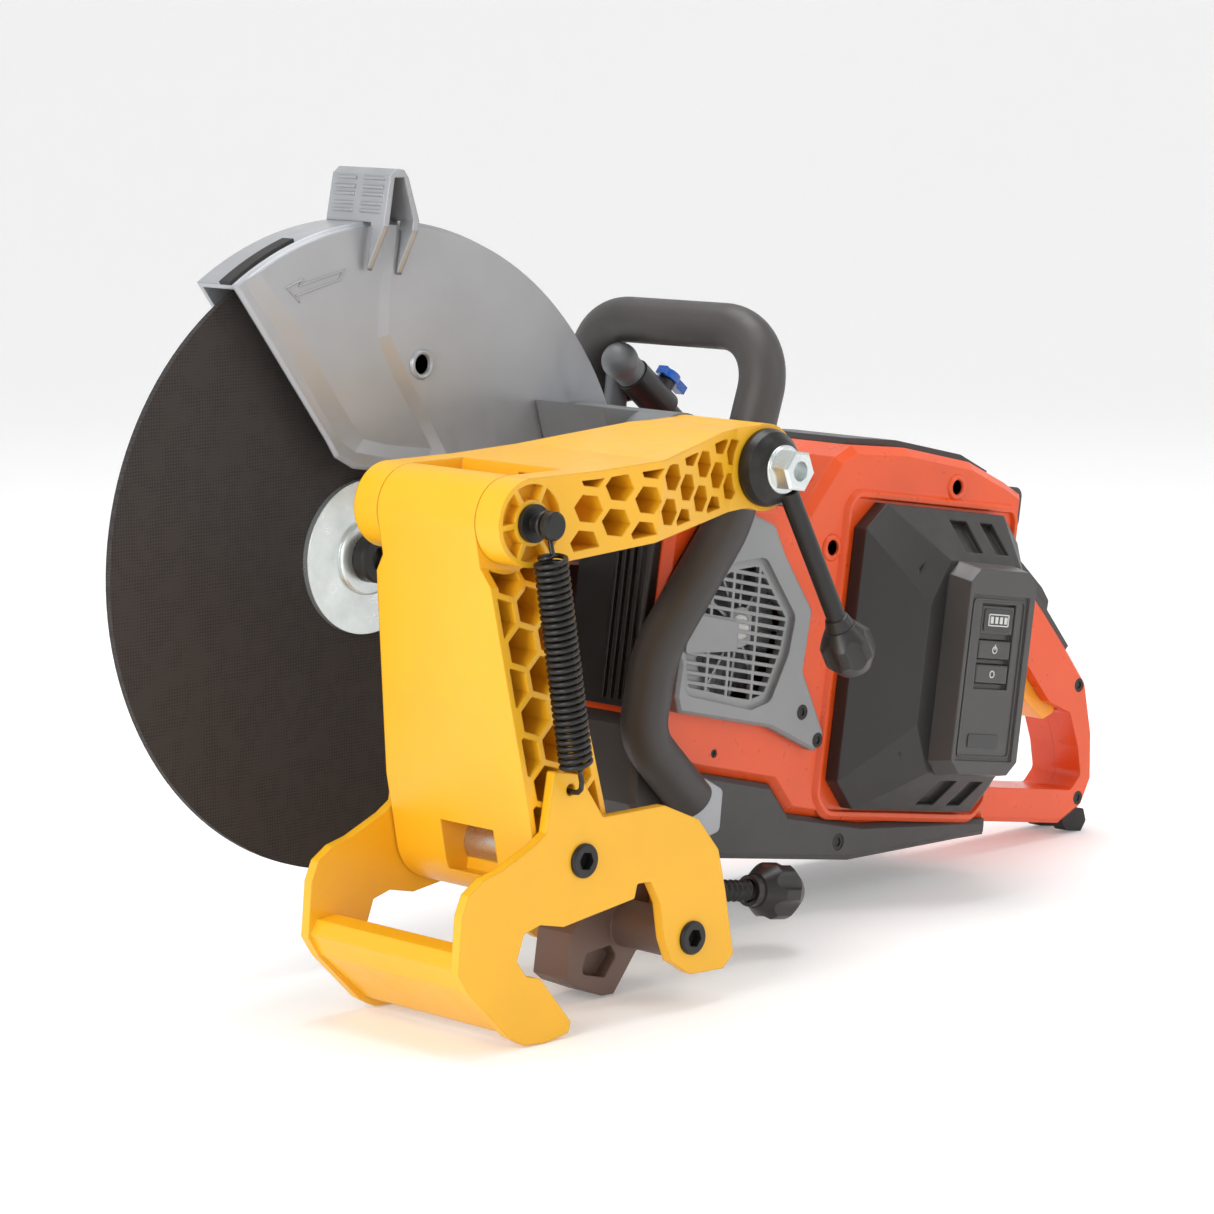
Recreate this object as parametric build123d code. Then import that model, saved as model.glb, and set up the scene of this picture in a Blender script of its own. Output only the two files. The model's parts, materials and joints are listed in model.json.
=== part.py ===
from build123d import *
import os
from math import cos, radians, sin

# Battery power cutter with a 350 mm disc and a rail guide clamped to its left side.
#
# Everything is drawn in the saw's own frame, in millimetres: the blade axis is the Y axis,
# X runs to the rear, Y to the operator's right and Z up. At the end the whole machine is
# pitched nose-up, as it stands on its rail guide and rear feet, and moved so that the floor
# is Z = 0 and the origin is under the middle of its bounding box.

# ---- driving dimensions -------------------------------------------------------------------
NOSE_UP = 9.0  # pitch of the saw as it stands, degrees
FIT = 0.05  # radial clearance of running fits
GAP = 0.4  # clearance between neighbouring moving parts
WALL = 3.0  # moulded shells

AXIS = (0.0, 0.0)  # blade axis, (x, z)
DISC_R = 175.0
DISC_T = 4.0
ARBOR_R = 12.7
SPINDLE_R = 10.0
FLANGE_R = 43.0
FLANGE_T = 7.0

GUARD_R = 186.0
GUARD_LEFT = -18.0
GUARD_RIGHT = 14.0
GUARD_BOSS_R = 30.0
GUARD_FRONT_DEG = 133.0
GUARD_REAR_DEG = 2.0
GUARD_SWEEP_R = 195.0  # the body stays outside this radius beside the blade

MOTOR = (222.0, -20.0)  # motor axis
MOTOR_R = 46.0
DRIVE_R = 21.0  # pulley radii over the belt
DRIVEN_R = 35.0
BELT_T = 3.0
BELT_LEFT = 38.0
BELT_RIGHT = 50.0
ARM_LEFT = 17.0
ARM_RIGHT = 34.0

BODY_LEFT = -90.0
BODY_SPLIT = -26.0
BODY_RIGHT = 16.0
HANDLE_LEFT = -50.0  # rear handle
HANDLE_SPLIT = -30.0
HANDLE_RIGHT = -10.0

TUBE_R = 13.5  # front handle
TUBE_Y = -101.0
TUBE_FAR_Y = 50.0

BATTERY_X = (303.0, 442.0)
BATTERY_Z = (-122.0, 60.0)
BATTERY_Y = (-90.6, -100.0, -126.0)  # foot, shoulder and crown of the case
PANEL_X = (351.0, 417.0)
PANEL_Z = (-97.0, 31.0)
PANEL_Y = -142.0

HUB = (134.0, 74.0)  # rail guide: hub, knuckle, lower pivot and jaw pivot axes
KNUCKLE = (-63.0, 33.0)
LOW_PIVOT = (1.0, -140.0)
JAW_PIVOT = (89.0, -181.0)
HUB_R = 24.0
HUB_SHAFT_R = 10.0
KNUCKLE_R = 23.0
LOW_R = 27.0
GUIDE_LEFT = -200.0
GUIDE_RIGHT = -88.0
HUB_LEFT = -172.0  # the upper arm narrows towards its hub
HUB_RIGHT = -108.0
LUG_T = 18.0
PLATE_T = 6.0
PLATE_RIGHT = -76.0
PIN_R = 8.0

CELL_R = 12.5  # corner radius of one honeycomb cell
CELL_WALL = 3.2
CELL_DEPTH = 38.0

SPRING_Y = -210.5
SPRING_R = 9.5
SPRING_WIRE_R = 1.4
SPRING_HOOK = (-14.0, -103.0)

SCREW_Y = -138.0  # jaw clamp screw
SCREW_Z = -165.0
SCREW_R = 6.5


# ---- helpers ------------------------------------------------------------------------------
def slab(face, left, right):
    """A flat outline, drawn as (x, z), made solid from y = left to y = right."""
    return extrude(Plane.XZ.offset(-right) * face, right - left, dir=(0, -1, 0))


def circle(centre, radius):
    return Pos(*centre) * Circle(radius)


def rod(centre, radius, left, right):
    return slab(circle(centre, radius), left, right)


def ring(centre, outer, inner, left, right):
    return slab(circle(centre, outer) - circle(centre, inner), left, right)


def outline(*points, round_r=0.0):
    face = make_face(Polyline(*points, close=True))
    return fillet(face.vertices(), round_r) if round_r else face


def link(a, radius_a, b, radius_b):
    """Two circles and the tangents that join them."""
    return make_hull(Sketch([circle(a, radius_a), circle(b, radius_b)]).edges())


def box(x_range, y_range, z_range):
    ranges = (x_range, y_range, z_range)
    centre = [(low + high) / 2 for low, high in ranges]
    return Pos(*centre) * Box(*[abs(high - low) for low, high in ranges])


def group(*solids):
    return Compound(children=list(solids))


def bar(start, end, radius):
    """A round bar from one point in space to another."""
    run = Vector(*end) - Vector(*start)
    plane = Plane(origin=start, z_dir=run.normalized())
    return plane * Pos(0, 0, run.length / 2) * Cylinder(radius, run.length)


def hexagon(centre, flats):
    return Pos(*centre) * RegularPolygon(flats / 2, 6, major_radius=False)


def polar(radius, angle):
    return (radius * cos(radians(angle)), radius * sin(radians(angle)))


def left_edges(solid):
    """The edges of the face that looks to the left."""
    return solid.faces().sort_by(Axis.Y)[0].edges()


def screw(centre, radius, left, depth):
    """Round socket-head screw that enters from the left."""
    head = rod(centre, radius, left, left + depth)
    return head - slab(hexagon(centre, radius), left, left + depth / 2)


def honeycomb(region, origin, angle, columns, rows):
    """Hexagonal cells with walls between them, clipped to a region."""
    pitch = CELL_R * 3**0.5
    cell = RegularPolygon(CELL_R - CELL_WALL / 3**0.5, 6)
    cells = []
    for column in range(columns):
        for row in range(-rows, rows + 1):
            place = Pos(column * 1.5 * CELL_R, (row + (column % 2) / 2) * pitch)
            cells.append(Pos(*origin) * Rot(0, 0, angle) * place * cell)
    clipped = [face for one in cells for face in (region & one).faces()]
    return [face for face in clipped if face.area > CELL_R**2 / 3]


# ---- blade, spindle and drive -------------------------------------------------------------
FLANGE_LEFT = -DISC_T / 2 - FLANGE_T


def cutting_disc():
    return ring(AXIS, DISC_R, ARBOR_R, -DISC_T / 2, DISC_T / 2)


def outer_flange():
    plate = ring(AXIS, FLANGE_R, ARBOR_R, FLANGE_LEFT + 3, -DISC_T / 2)
    plate += ring(AXIS, 21.0, ARBOR_R, FLANGE_LEFT, FLANGE_LEFT + 3)
    return chamfer(left_edges(plate).filter_by(GeomType.CIRCLE), 1.0)


def inner_flange():
    return ring(AXIS, FLANGE_R, ARBOR_R, DISC_T / 2, DISC_T / 2 + FLANGE_T)


def spindle_shaft():
    seat = rod(AXIS, ARBOR_R, FLANGE_LEFT + 2, DISC_T / 2 + FLANGE_T)
    shaft = rod(AXIS, SPINDLE_R, DISC_T / 2 + FLANGE_T, BELT_RIGHT + 4)
    return seat + shaft - rod(AXIS, 5.0, FLANGE_LEFT, 14)


def flange_bolt():
    head = rod(AXIS, 13.6, FLANGE_LEFT - 9, FLANGE_LEFT)
    head = chamfer(left_edges(head), 1.5)
    head -= slab(hexagon(AXIS, 12), FLANGE_LEFT - 9, FLANGE_LEFT - 3)
    return head + rod(AXIS, 5.0, FLANGE_LEFT, 12)


def pulley(centre, radius, bore):
    body = ring(centre, radius - BELT_T - GAP, bore, BELT_LEFT, BELT_RIGHT)
    for left in (BELT_LEFT - 1, BELT_RIGHT - 1):
        body += ring(centre, radius, bore, left, left + 2)
    return body


def drive_belt():
    outer = link(AXIS, DRIVEN_R, MOTOR, DRIVE_R)
    inner = link(AXIS, DRIVEN_R - BELT_T, MOTOR, DRIVE_R - BELT_T)
    return slab(outer - inner, BELT_LEFT + 1.5, BELT_RIGHT - 1.5)


def motor_rotor():
    magnets = ring(MOTOR, 24.0, 8.0, -66, -29)
    shaft = rod(MOTOR, 8.0, -84, BELT_RIGHT + 3)
    return magnets + shaft


def cooling_fan():
    fan = ring(MOTOR, 12.0, 8.0, -84, -68) + ring(MOTOR, 42.0, 8.0, -70, -68)
    blade = slab(outline((10, -1), (41, -1), (41, 1), (10, 1)), -82, -70)
    for turn in range(0, 360, 30):
        fan += Pos(MOTOR[0], 0, MOTOR[1]) * Rot(0, turn, 0) * blade
    return fan


def motor_stator():
    stack = ring(MOTOR, MOTOR_R, 25.0, -64, -31)
    slots = [
        rod((MOTOR[0] + polar(32, turn)[0], MOTOR[1] + polar(32, turn)[1]), 4.0, -66, -28)
        for turn in range(0, 360, 30)
    ]
    return stack - slots


def shaft_bearings():
    """Two spindle bearings in the arm, and one at each end of the motor."""
    places = [
        (AXIS, 26.0, SPINDLE_R, ARM_LEFT, ARM_LEFT + 8),
        (AXIS, 26.0, SPINDLE_R, ARM_RIGHT - 8, ARM_RIGHT),
        (MOTOR, 17.0, 8.0, ARM_RIGHT - 10, ARM_RIGHT),
    ]
    return group(*[ring(c, outer, bore + FIT, left, right) for c, outer, bore, left, right in places])


def drive_arm():
    face = link(AXIS, 34.0, MOTOR, 33.0)
    arm = slab(face, ARM_LEFT, ARM_RIGHT)
    arm += rod(AXIS, GUARD_BOSS_R - FIT, GUARD_RIGHT - WALL, ARM_LEFT)
    arm -= rod(AXIS, 26.0, ARM_LEFT, ARM_RIGHT)
    arm -= rod(AXIS, SPINDLE_R + 2, 0, ARM_RIGHT)
    arm -= rod(MOTOR, 17.0, ARM_RIGHT - 10, ARM_RIGHT)
    arm -= rod(MOTOR, 12.0, ARM_LEFT, ARM_RIGHT)
    window = link((62, -6), 14.0, (160, -14), 14.0)
    return arm - slab(window, ARM_LEFT + 8, ARM_RIGHT)


def belt_cover():
    face = link(AXIS, 44.0, MOTOR, 31.0)
    cover = slab(face, ARM_RIGHT, BELT_RIGHT + 8)
    cover = chamfer(cover.faces().sort_by(Axis.Y)[-1].edges(), 3.0)
    return cover - slab(offset(face, -WALL), ARM_RIGHT, BELT_RIGHT + 5)


# ---- blade guard --------------------------------------------------------------------------
GUARD_FRONT = [(-48, 62), (-40, 53), (-26, 48)]  # lower end of the leading edge


def sector(radius, front_deg, rear_deg):
    """Part of a disc; the leading end is cut straight down to the corner by the hub."""
    middle = (front_deg + rear_deg) / 2
    corners = [polar(2 * radius, a) for a in (rear_deg, middle, front_deg)]
    return Circle(radius) & outline((0, 0), *corners)


def guard_face(radius):
    lead = polar(GUARD_R * 1.5, GUARD_FRONT_DEG)
    top = [polar(GUARD_R * 1.7, a) for a in (90, 45)]
    tail = polar(GUARD_R * 1.5, GUARD_REAR_DEG)
    face = outline(*GUARD_FRONT, (0, 48), (52, 20), (52, 2), tail, top[1], top[0], lead)
    return face & Circle(radius)


GUARD_STEPS = [  # foot, crown and height of the raised fields of the left face
    (
        [
            (-118, 140), (-84, 110), (-60, 83), (-40, 63), (-28, 57),
            (-9, 56), (54, 56), (54, 190), (-99, 190),
        ],
        [
            (-110, 146), (-76, 118), (-60, 99), (-36, 74), (-25, 65),
            (-9, 63), (50, 63), (50, 186), (-96, 186),
        ],
        2.5,
    ),
    (
        [(-31, 196), (-31, 143), (-29, 117), (-15, 96), (15, 66), (50, 28), (100, 10), (196, 8), (196, 196)],
        [(-20, 192), (-20, 147), (-17, 123), (2, 100), (25, 73), (58, 35), (103, 16), (192, 14), (192, 192)],
        5.0,
    ),
]


def blade_guard():
    shell = slab(guard_face(GUARD_R), GUARD_LEFT, GUARD_RIGHT)
    shell = chamfer(left_edges(shell), 2.0)
    shell -= slab(Circle(GUARD_R - WALL), GUARD_LEFT + WALL, GUARD_RIGHT - WALL)
    for foot, crown, height in GUARD_STEPS:
        step = tapered(outline(*foot), outline(*crown), GUARD_LEFT, GUARD_LEFT - height)
        shell += step & rod(AXIS, GUARD_R - 2, GUARD_LEFT - height, GUARD_LEFT)
    shell += ring(AXIS, 50.0, GUARD_BOSS_R, GUARD_RIGHT - WALL, GUARD_RIGHT)
    shell -= rod(AXIS, GUARD_BOSS_R, GUARD_RIGHT - WALL, GUARD_RIGHT)
    shell -= rod((9, 109), 5.5, GUARD_LEFT - 8, GUARD_LEFT + 8)
    return shell


GRIP_LEFT = -34.0


def guard_grip():
    """Hollow grip on the rim, open to the left, with two gussets down the side of the guard."""
    face = outline(
        (-39, 180), (-39, 184), (-38, 208), (-34, 212), (-29, 212), (-25, 208), (-14, 186), (-14, 180)
    )
    room = outline((-35.5, 178), (-35, 207), (-28, 208), (-18, 186), (-18, 178))
    grip = slab(face, GRIP_LEFT, GUARD_RIGHT) - slab(room, GRIP_LEFT, GUARD_RIGHT - WALL)
    gusset = make_face(Polyline((GUARD_LEFT - 6, 156), (GRIP_LEFT, 181), (GUARD_LEFT - 6, 181), close=True))
    for x in (-39.0, -17.5):
        grip += extrude(Plane.YZ.offset(x) * gusset, 3.5)
    for z in (188, 192, 197, 201, 206):
        for y in (-30, -7):
            grip += box((-39.6, -37.0), (y, y + 17), (z - 0.8, z + 0.8))
    grip -= rod(AXIS, GUARD_R, GUARD_LEFT - 5, GUARD_RIGHT)
    return grip


def guard_seal():
    """Rubber strip along the front of the rim."""
    face = sector(GUARD_R + 2, GUARD_FRONT_DEG - 1, GUARD_FRONT_DEG - 16) - Circle(GUARD_R)
    return slab(face, GUARD_LEFT + 3, GUARD_LEFT + 12)


# ---- body ---------------------------------------------------------------------------------
GRILLE_LEFT = BODY_LEFT - 8
SINK = 2.0  # depth of the screw recesses
SCREWS = [  # centre, radius and the face that the head is sunk in
    ((286, 31), 4.5, BODY_LEFT),
    ((391, 74), 4.5, BODY_LEFT),
    ((321, -143), 5.0, BODY_LEFT),
    ((206, -93), 2.5, BODY_LEFT),
    ((268, -66), 4.5, GRILLE_LEFT),
    ((284, -82), 4.5, GRILLE_LEFT),
    ((580, -44), 4.5, HANDLE_LEFT),
    ((592, -117), 4.5, HANDLE_LEFT),
]


def countersunk(solid, left):
    for centre, radius, face_left in SCREWS:
        if face_left == left:
            solid -= rod(centre, radius, left, left + SINK)
    return solid


BODY_REAR = 456.0
BODY_TOP = [(262, 52), (284, 84), (298, 92), (345, 94), (405, 90), (440, 80), (BODY_REAR, 74)]
BODY_BASE = [(BODY_REAR, -127), (340, -132), (276, -127), (258, -110), (190, -104), (163, -96), (150, -74)]
BODY_FRONT = [(150, 44), (158, 52)]


def body_face():
    return outline(*BODY_FRONT, *BODY_TOP, *BODY_BASE)


def clear_of_blade(face):
    return face - Circle(GUARD_SWEEP_R)


def housing_left():
    shell = slab(body_face(), BODY_LEFT, BODY_SPLIT)
    shell = chamfer(left_edges(shell), 5.0)
    inner = offset(body_face(), -WALL, kind=Kind.INTERSECTION)
    shell -= slab(inner, BODY_LEFT + WALL, BODY_SPLIT - WALL)
    shell -= slab(inner - Circle(GUARD_SWEEP_R + WALL), BODY_SPLIT - WALL, BODY_SPLIT)
    shell -= rod(MOTOR, 48.0, BODY_LEFT, BODY_LEFT + WALL)
    shell -= box((336, 380), (BODY_LEFT, BODY_LEFT + WALL), (-52, -8))
    return countersunk(shell - latch_pocket() - handle_room(), BODY_LEFT)


def housing_right():
    face = clear_of_blade(body_face())
    shell = slab(face, BODY_SPLIT, BODY_RIGHT)
    shell = chamfer(shell.faces().sort_by(Axis.Y)[-1].edges(), 2.0)
    shell -= slab(offset(face, -WALL, kind=Kind.INTERSECTION), BODY_SPLIT, BODY_RIGHT - WALL)
    return shell - rod(MOTOR, 14.0, BODY_RIGHT - WALL, BODY_RIGHT)


def front_cover():
    """Dark ribbed panel on the front of the body, beside the blade."""
    panel = box((142, 150), (BODY_LEFT + 6, BODY_SPLIT), (-70, 42))
    panel = fillet(panel.edges().filter_by(Axis.Z).sort_by(Axis.X)[:2], 3.0)
    for y in range(-80, -56, 6):
        panel += box((139, 142), (y, y + 2.4), (-66, 38))
    return panel


def lower_skid():
    floor = [(141, -80), (144, -124), (166, -146), (192, -154), (334, -154), (432, -140), (BODY_REAR, -137)]
    face = outline(*BODY_BASE, *floor)
    keel = slab(face, BODY_LEFT, BODY_SPLIT) + slab(clear_of_blade(face), BODY_SPLIT, BODY_RIGHT)
    keel = chamfer(left_edges(keel), 3.0)
    pocket = outline((200, -100), (200, -146), (330, -146), (440, -134), (440, -120), (260, -100))
    keel -= slab(pocket, BODY_LEFT + 6, BODY_RIGHT - 6)
    return countersunk(keel - handle_room(), BODY_LEFT)


GRIP_TOP = [(BODY_REAR, 64), (472, 54), (540, 0), (566, -22)]
TRIGGER_Y = (-42.0, -18.0)
TRIGGER_PIVOT = (513.0, -18.0)
LOCKOUT_Y = (-38.0, -22.0)
LOCKOUT_SLOT = (497.0, 557.0)
LOCKOUT_PIVOT = (504.0, 28.0)


def handle_face():
    tail = [(588, -42), (600, -74), (605, -104), (598, -122), (578, -134), (BODY_REAR, -134)]
    return outline(*GRIP_TOP, *tail)


def handle_hole():
    return outline(
        (482, -4), (494, -6), (552, -56), (574, -62), (586, -84), (592, -102), (584, -112), (482, -112),
        round_r=5.0,
    )


def handle_half(left, right, cavity_left, cavity_right):
    face = handle_face() - handle_hole()
    inner = offset(handle_face(), -WALL) - offset(handle_hole(), WALL)
    half = slab(face, left, right)
    outside = half.faces().sort_by(Axis.Y)[0 if cavity_left > left else -1]
    half = chamfer(outside.outer_wire().edges(), 3.0)
    half -= slab(inner, cavity_left, cavity_right)
    half -= box((504, 573), (TRIGGER_Y[0] - 1, TRIGGER_Y[1] + 1), (-72, -10))
    return half - box(LOCKOUT_SLOT, (LOCKOUT_Y[0] - 1, LOCKOUT_Y[1] + 1), (-12, 50))


def rear_handle_left():
    half = handle_half(HANDLE_LEFT, HANDLE_SPLIT, HANDLE_LEFT + WALL, HANDLE_SPLIT)
    return countersunk(half, HANDLE_LEFT)


def rear_handle_right():
    return handle_half(HANDLE_SPLIT, HANDLE_RIGHT, HANDLE_SPLIT, HANDLE_RIGHT - WALL)


def grip_pad():
    """Soft overmould on top of the rear grip."""
    upper = [(568, -19.5), (542, 3), (474, 57), (462, 62)]
    face = outline(GRIP_TOP[1], GRIP_TOP[2], GRIP_TOP[3], *upper)
    pad = slab(face, HANDLE_LEFT + 3, HANDLE_RIGHT - 3)
    return pad - box(LOCKOUT_SLOT, (LOCKOUT_Y[0] - 1, LOCKOUT_Y[1] + 1), (-30, 60))


def throttle_trigger():
    face = outline(
        (507, -13), (520, -18), (557, -46), (567, -55), (567, -63), (557, -68), (538, -57),
        (516, -34), (507, -24),
        round_r=2.0,
    )
    return slab(face, *TRIGGER_Y) - rod(TRIGGER_PIVOT, 2.5, *TRIGGER_Y)


def lockout_lever():
    face = outline((499, 30), (506, 42), (546, 16), (554, 8), (553, -6), (540, -7), (512, 16), round_r=2.0)
    return slab(face, *LOCKOUT_Y) - rod(LOCKOUT_PIVOT, 2.0, *LOCKOUT_Y)


def top_cover():
    """Grey insert let into the top of the body."""
    face = outline((300, 92.1), (345, 94), (405, 90), (432, 82.3), (431, 86), (405, 94), (345, 98), (302, 96))
    return slab(face, BODY_LEFT + 12, BODY_RIGHT - 10)


def cooling_grille():
    plate = outline(
        (203, 48), (229, 41), (240, 25), (268, -6), (266, -42), (290, -78), (284, -89), (243, -76),
        (166, -70), (162, -61), (163, -34), (186, 14), (198, 34),
        round_r=2.5,
    )
    field = outline(
        (181, 3), (200, 13), (221, 17), (248, -12), (246, -31),
        (236, -57), (224, -61), (173, -55), (168, -34), round_r=3.0,
    )
    left = GRILLE_LEFT
    cover = slab(plate, left, BODY_LEFT)
    cover = chamfer(left_edges(cover), 2.0)
    cover -= slab(offset(field, 5.0), left, left + 3)
    cover -= slab(field, left, BODY_LEFT - 2)
    bars = [Pos(208, 5.6 * row - 66) * Rot(0, 0, -4) * Rectangle(120, 2.2) for row in range(16)]
    ties = [Pos(x, -20) * Rot(0, 0, 3) * Rectangle(2.2, 100) for x in (186, 203, 224)]
    cover += slab(field & (Sketch() + bars + ties), left + 3, BODY_LEFT - 2)
    cover -= slab(field & Sketch([circle(MOTOR, 46)]), BODY_LEFT - 2, BODY_LEFT)
    cover += slab(outline((168, -13), (207, -16), (208, -33), (166, -36), round_r=2), left + 1, BODY_LEFT - 2)
    return countersunk(cover - handle_room(), left)


def body_screws():
    """Visible screws of the body, keel, grille and rear handle."""
    return group(*[screw(centre, radius - FIT, left + 0.4, SINK - 0.4) for centre, radius, left in SCREWS])


def controller_box():
    return fillet(box((318, 420), (-78, -32), (0, 72)).edges(), 3.0)


LATCH_X = (432.0, 460.0)
LATCH_Y = (-84.0, -52.0)
LATCH_Z = (52.0, 78.0)
LATCH_TRAVEL = 4.0


def latch_pocket():
    x_range = (LATCH_X[0] - LATCH_TRAVEL - 1, LATCH_X[1])
    return box(x_range, (LATCH_Y[0] - 1, LATCH_Y[1] + 1), (LATCH_Z[0] - 1, 100))


def battery_latch():
    latch = box(LATCH_X, LATCH_Y, LATCH_Z)
    return fillet(latch.edges().filter_by(Axis.Y).sort_by(Axis.X)[-2:], 6.0)


TERMINAL_X = (340.0, 376.0)
TERMINAL_Z = (-48.0, -12.0)


def battery_terminal():
    """Contact block that reaches out of the body into the battery."""
    block = box(TERMINAL_X, (-110, -70), TERMINAL_Z)
    for z in (-42, -30, -18):
        block -= box((344, 372), (-110, -98), (z - 1.5, z + 1.5))
    return block


def rear_feet():
    """Rubber feet under the end of the rear handle."""
    foot = outline((584, -128), (604, -124), (608, -132), (604, -139), (590, -139), (584, -134), round_r=1.5)
    foot -= handle_face()
    left = slab(foot, HANDLE_LEFT + 4, HANDLE_LEFT + 14)
    return group(left, slab(foot, HANDLE_RIGHT - 14, HANDLE_RIGHT - 4))


# ---- front handle -------------------------------------------------------------------------
TUBE_START = [(180, TUBE_Y, -119), (134, TUBE_Y, -84)]
TUBE_END = [(228, 36, 56), (194, TUBE_FAR_Y, 150)]


def handle_tube(radius):
    middle = [(137, TUBE_Y, -36), (185, TUBE_Y, 40), (205, TUBE_Y, 152)]
    path = FilletPolyline(*TUBE_START, *middle, *reversed(TUBE_END), radius=[26, 60, 60, 36, 36])
    section = Plane(origin=path @ 0, z_dir=path % 0) * Circle(radius)
    return sweep(section, path=path)


def handle_room():
    """Clearance that the body leaves round the front handle."""
    return handle_tube(TUBE_R + 1)


def front_handle():
    return handle_tube(TUBE_R)


def handle_bracket_left():
    face = outline((172, -124), (184, -105), (202, -112), (203, -136), (186, -142), round_r=4.0)
    return slab(face, -104, BODY_LEFT) - bar(*TUBE_START, TUBE_R)


def handle_bracket_right():
    foot = slab(outline((212, 18), (212, 46), (252, 46), (252, 18), round_r=5), BODY_RIGHT, 52)
    return foot + box((216, 246), (22, 50), (46, 56)) - bar(TUBE_END[0], TUBE_END[1], TUBE_R)


# ---- water feed ---------------------------------------------------------------------------
VALVE_Y = 8.0
VALVE_START = (203.0, VALVE_Y, 119.0)
VALVE_END = (232.0, VALVE_Y, 101.3)
VALVE_RUN = (29.0, 0.0, -17.7)
TAP_SEAT = (225.0, VALVE_Y, 105.6)  # the tap turns about the stem, at right angles to the valve
TAP_AXIS = (0.521, 0.0, 0.853)


def water_valve():
    body = bar(VALVE_START, VALVE_END, 10.5)
    body += bar(VALVE_END, (VALVE_END[0] + 12, VALVE_Y, VALVE_END[2] - 7.3), 7.0)
    stem = Plane(origin=TAP_SEAT, z_dir=TAP_AXIS)
    body += stem * Pos(0, 0, 7) * Cylinder(5.5, 14)
    strap = bar((216, VALVE_Y, 111), (211, 43, 102), 5.0)
    return body + strap - bar(*TUBE_END, TUBE_R)


def water_elbow():
    corner = Vector(*VALVE_START) - Vector(*VALVE_RUN) * 0.38
    turn, foot = (205, 22, 122), (208, 24, 82)
    elbow = bar(VALVE_START, corner, 9.5) + Pos(corner) * Sphere(11.0)
    elbow += bar(corner, turn, 7.0) + Pos(*turn) * Sphere(7.0) + bar(turn, foot, 7.0)
    return elbow - water_valve() - bar(*TUBE_END, TUBE_R)


def tap_lever():
    place = Plane(origin=TAP_SEAT, x_dir=VALVE_RUN, z_dir=TAP_AXIS)
    lever = place * Pos(0, 0, 17) * Cylinder(6.5, 5.2)
    return lever + place * Pos(3, 0, 17) * Box(22, 7, 5.2)


# ---- battery ------------------------------------------------------------------------------
def chamfered(x_range, z_range, corner):
    (x0, x1), (z0, z1) = x_range, z_range
    c = corner
    return outline(
        (x0 + c, z0), (x1 - c, z0), (x1, z0 + c), (x1, z1 - c),
        (x1 - c, z1), (x0 + c, z1), (x0, z1 - c), (x0, z0 + c),
    )


def shrink(limits, margin):
    return (limits[0] + margin, limits[1] - margin)


def tapered(face, small_face, right, left):
    """A ruled block from the outline at y = right to the smaller one at y = left."""
    return loft([Plane.XZ.offset(-right) * face, Plane.XZ.offset(-left) * small_face], ruled=True)


CROWN = [  # outline of the raised front of the case
    (352, 31), (338, 4), (338, -68), (352, -96), (416, -96), (430, -68), (430, 4), (416, 31),
]


def battery_case():
    foot, shoulder, crown = BATTERY_Y
    big = chamfered(BATTERY_X, BATTERY_Z, 16)
    case = slab(big, shoulder, foot) + tapered(big, outline(*CROWN), shoulder, crown)
    case -= slab(chamfered(shrink(BATTERY_X, 30), shrink(BATTERY_Z, 30), 6), crown + 7, foot - 4)
    case -= box(shrink(TERMINAL_X, -1), (foot - 4, foot), shrink(TERMINAL_Z, -1))
    case -= slab(chamfered(shrink(PANEL_X, 4), shrink(PANEL_Z, 4), 6), crown, crown + 4)
    for x, width in ((378, 16), (404, 12)):
        for z, tilt in ((45.5, 45), (-109.5, -45)):
            case -= Pos(x, (shoulder + crown) / 2, z) * Rot(tilt, 0, 0) * Box(width, 24, 7)
    return case


DISPLAY_X = (368.0, 399.0)
DISPLAY_Z = (-43.0, 8.0)


def battery_panel():
    crown = BATTERY_Y[2]
    face = chamfered(PANEL_X, PANEL_Z, 8)
    panel = slab(chamfered(shrink(PANEL_X, 4), shrink(PANEL_Z, 4), 6), crown, crown + 4)
    panel += tapered(face, chamfered(shrink(PANEL_X, 3), shrink(PANEL_Z, 3), 8), crown, PANEL_Y)
    panel -= box((357, 409), (PANEL_Y, PANEL_Y + 1.5), (-86, 13))
    panel -= box(DISPLAY_X, (PANEL_Y, PANEL_Y + 4.5), DISPLAY_Z)
    panel += box(shrink(DISPLAY_X, 1), (PANEL_Y + 2, PANEL_Y + 5), (-10, 6.5))
    reach = BUTTON_H + BUTTON_GAP
    for z in BUTTON_Z:
        panel -= box(shrink(BUTTON_X, -BUTTON_GAP), (PANEL_Y, PANEL_Y + 10), (z - reach, z + reach))
    return panel


BUTTON_X = (369.0, 398.0)
BUTTON_Z = (-19.5, -34.0)
BUTTON_H = 5.5
BUTTON_GAP = 0.3
BUTTON_TRAVEL = 1.2


def battery_button(z):
    key = box(BUTTON_X, (PANEL_Y + 1.5, PANEL_Y + 8.2), (z - BUTTON_H, z + BUTTON_H))
    return fillet(left_edges(key), 1.0)


def battery_cells():
    """Rows of round cells above and below the contact block."""
    cells = [rod((x, z), 9.4, -118, -95.5) for z in (-81, -60.5, 0, 20) for x in (343, 363, 383, 402)]
    return group(*cells)


# ---- rail guide: arms ---------------------------------------------------------------------
ARM_CELLS = [  # column centre, height of the middle and half width of its cells
    (-24, 43.0, 11.5), (-3, 46.5, 11.5), (19, 50.5, 11.0), (39, 54.5, 10.0),
    (57, 59.0, 9.2), (74, 63.0, 9.0), (91, 67.0, 9.0), (107, 71.0, 8.5),
]
ARM_CELL_PITCH = 18.5
ARM_CELL_FLOOR = -150.0


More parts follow.
